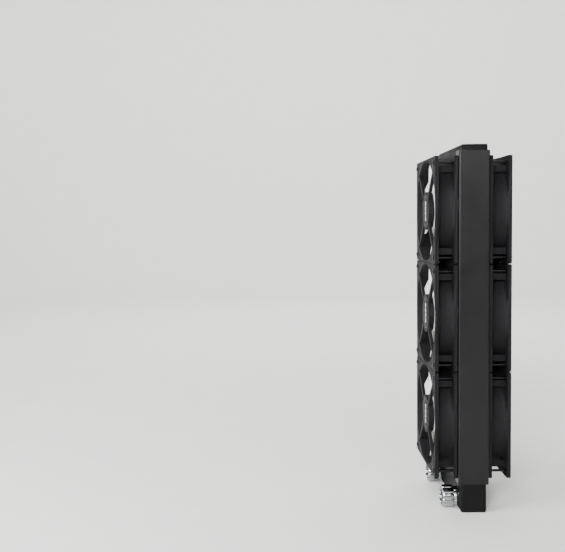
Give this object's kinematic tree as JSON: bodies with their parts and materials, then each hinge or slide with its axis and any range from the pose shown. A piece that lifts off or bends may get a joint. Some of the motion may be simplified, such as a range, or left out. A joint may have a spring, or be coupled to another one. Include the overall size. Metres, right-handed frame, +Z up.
{
  "type": "liquid cooling radiator",
  "caption": "Upright coolant radiator for a computer, with a slim black housing, fans on both broad faces and two hose fittings on its lower tank.",
  "frame": {"origin": "centre of the port tank's flat lower face", "axes": "+Z up the radiator's length, X across its thickness along the air flow with the fittings on the -X side, Y across its width"},
  "size_m": [0.0846, 0.128, 0.4085],
  "materials": {
    "housing_coat": "satin black powder coat on folded steel sheet",
    "tank_coat": "satin black powder coat on pressed brass",
    "core_coat": "thin black paint on brass",
    "fin_coat": "thin black paint on copper strip",
    "fan_frame_plastic": "fine textured moulded black plastic",
    "fan_blade_plastic": "white moulded plastic, slightly translucent",
    "motor_winding": "enamelled copper wire on a steel core",
    "port_brass": "machined",
    "seal_rubber": "moulded, dull",
    "fitting_chrome": "bright chrome plate on brass"
  },
  "bodies": {
    "radiator": {"coolant_tube_01": "core_coat", "coolant_tube_02": "core_coat", "coolant_tube_03": "core_coat", "coolant_tube_04": "core_coat", "coolant_tube_05": "core_coat", "coolant_tube_06": "core_coat", "coolant_tube_07": "core_coat", "coolant_tube_08": "core_coat", "coolant_tube_09": "core_coat", "coolant_tube_10": "core_coat", "coolant_tube_11": "core_coat", "coolant_tube_12": "core_coat", "end_channel_lower": "housing_coat", "end_channel_upper": "housing_coat", "end_tank": "tank_coat", "fan_frame_left_lower": "fan_frame_plastic", "fan_frame_left_middle": "fan_frame_plastic", "fan_frame_left_upper": "fan_frame_plastic", "fan_frame_right_lower": "fan_frame_plastic", "fan_frame_right_middle": "fan_frame_plastic", "fan_frame_right_upper": "fan_frame_plastic", "fan_stator_left_lower": "motor_winding", "fan_stator_left_middle": "motor_winding", "fan_stator_left_upper": "motor_winding", "fan_stator_right_lower": "motor_winding", "fan_stator_right_middle": "motor_winding", "fan_stator_right_upper": "motor_winding", "fin_strip_01": "fin_coat", "fin_strip_02": "fin_coat", "fin_strip_03": "fin_coat", "fin_strip_04": "fin_coat", "fin_strip_05": "fin_coat", "fin_strip_06": "fin_coat", "fin_strip_07": "fin_coat", "fin_strip_08": "fin_coat", "fin_strip_09": "fin_coat", "fin_strip_10": "fin_coat", "fin_strip_11": "fin_coat", "fin_strip_12": "fin_coat", "fin_strip_13": "fin_coat", "fitting_base_front": "fitting_chrome", "fitting_base_rear": "fitting_chrome", "header_plate_lower": "core_coat", "header_plate_upper": "core_coat", "port_boss_front": "port_brass", "port_boss_rear": "port_brass", "port_seal_front": "seal_rubber", "port_seal_rear": "seal_rubber", "port_tank": "tank_coat", "side_panel_front": "housing_coat", "side_panel_rear": "housing_coat"},
    "rotor_left_lower": {"fan_rotor_left_lower": "fan_blade_plastic"},
    "rotor_left_middle": {"fan_rotor_left_middle": "fan_blade_plastic"},
    "rotor_left_upper": {"fan_rotor_left_upper": "fan_blade_plastic"},
    "rotor_right_lower": {"fan_rotor_right_lower": "fan_blade_plastic"},
    "rotor_right_middle": {"fan_rotor_right_middle": "fan_blade_plastic"},
    "rotor_right_upper": {"fan_rotor_right_upper": "fan_blade_plastic"},
    "collar_front": {"fitting_collar_front": "fitting_chrome"},
    "collar_rear": {"fitting_collar_rear": "fitting_chrome"}
  },
  "joints": [
    {"name": "rotor_spin_left_lower", "type": "hinge", "parent": "radiator", "child": "rotor_left_lower", "pos_m": [-0.0298, 0, 0.097], "axis": [1, 0, 0], "continuous": true},
    {"name": "rotor_spin_left_middle", "type": "hinge", "parent": "radiator", "child": "rotor_left_middle", "pos_m": [-0.0298, 0, 0.217], "axis": [1, 0, 0], "continuous": true},
    {"name": "rotor_spin_left_upper", "type": "hinge", "parent": "radiator", "child": "rotor_left_upper", "pos_m": [-0.0298, 0, 0.337], "axis": [1, 0, 0], "continuous": true},
    {"name": "rotor_spin_right_lower", "type": "hinge", "parent": "radiator", "child": "rotor_right_lower", "pos_m": [0.0298, 0, 0.097], "axis": [1, 0, 0], "continuous": true},
    {"name": "rotor_spin_right_middle", "type": "hinge", "parent": "radiator", "child": "rotor_right_middle", "pos_m": [0.0298, 0, 0.217], "axis": [1, 0, 0], "continuous": true},
    {"name": "rotor_spin_right_upper", "type": "hinge", "parent": "radiator", "child": "rotor_right_upper", "pos_m": [0.0298, 0, 0.337], "axis": [1, 0, 0], "continuous": true},
    {"name": "collar_turn_front", "type": "hinge", "parent": "radiator", "child": "collar_front", "pos_m": [-0.026, -0.044, 0.0133], "axis": [-1, 0, 0], "range_deg": [0, 1080]},
    {"name": "collar_turn_rear", "type": "hinge", "parent": "radiator", "child": "collar_rear", "pos_m": [-0.026, 0.044, 0.0133], "axis": [-1, 0, 0], "range_deg": [0, 1080]}
  ]
}
